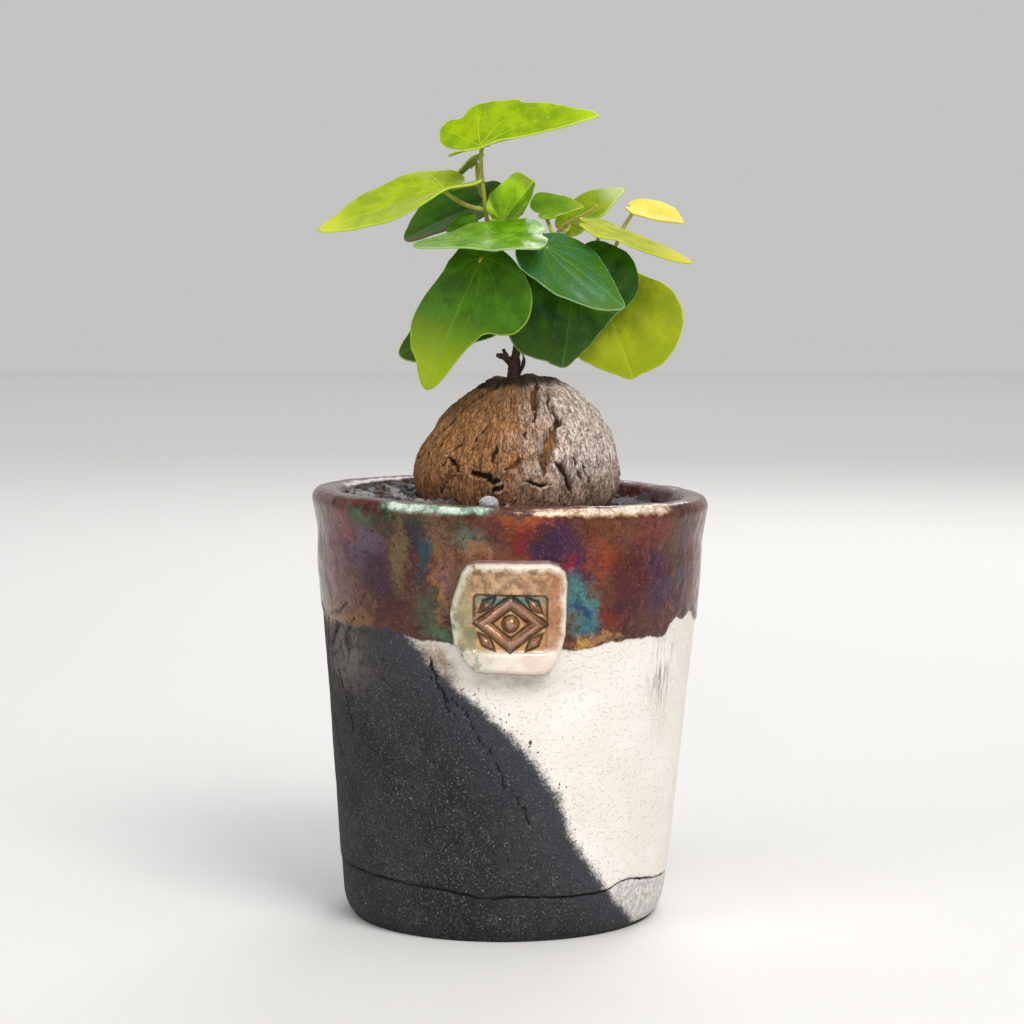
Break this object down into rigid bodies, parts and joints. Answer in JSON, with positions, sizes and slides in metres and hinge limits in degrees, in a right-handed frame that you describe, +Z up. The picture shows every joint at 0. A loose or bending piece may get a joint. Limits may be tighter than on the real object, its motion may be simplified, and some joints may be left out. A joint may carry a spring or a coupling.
{
  "type": "potted elephant's foot caudex plant",
  "caption": "Small caudex plant with heart-shaped leaves on thin stems, in a tapered two-tone hand-made pot filled with black grit.",
  "frame": {"origin": "on the surface the pot stands on, under the centre of its rim", "axes": "+Z up, -Y is the front with the medallion, +X to the right seen from the front"},
  "size_m": [0.0898, 0.0915, 0.185],
  "materials": {
    "raku_clay": "raku-fired clay, black below and left, white below and right, metallic glaze band at the rim",
    "black_grit": "rough angular grit",
    "corky_bark": "fissured cork",
    "dry_stem": "dry woody stem",
    "lime_leaf": "young leaf, satin",
    "green_leaf": "leaf, glossy",
    "dark_leaf": "old leaf, satin",
    "yellow_leaf": "new leaf, satin"
  },
  "bodies": {
    "root": {"pot": "raku_clay", "substrate": "black_grit", "caudex": "corky_bark", "vine": "dry_stem", "leaf_top": "lime_leaf", "leaf_left": "lime_leaf", "leaf_edge_on": "green_leaf", "leaf_left_back": "dark_leaf", "leaf_mid_left": "green_leaf", "leaf_curled": "lime_leaf", "leaf_right_back": "green_leaf", "leaf_far_right": "green_leaf", "leaf_right": "lime_leaf", "leaf_yellow": "yellow_leaf", "leaf_centre": "green_leaf", "leaf_big_dark": "dark_leaf", "leaf_lower_right": "lime_leaf", "leaf_big_left": "green_leaf", "leaf_left_hidden": "dark_leaf", "leaf_inner": "green_leaf"}
  },
  "joints": []
}
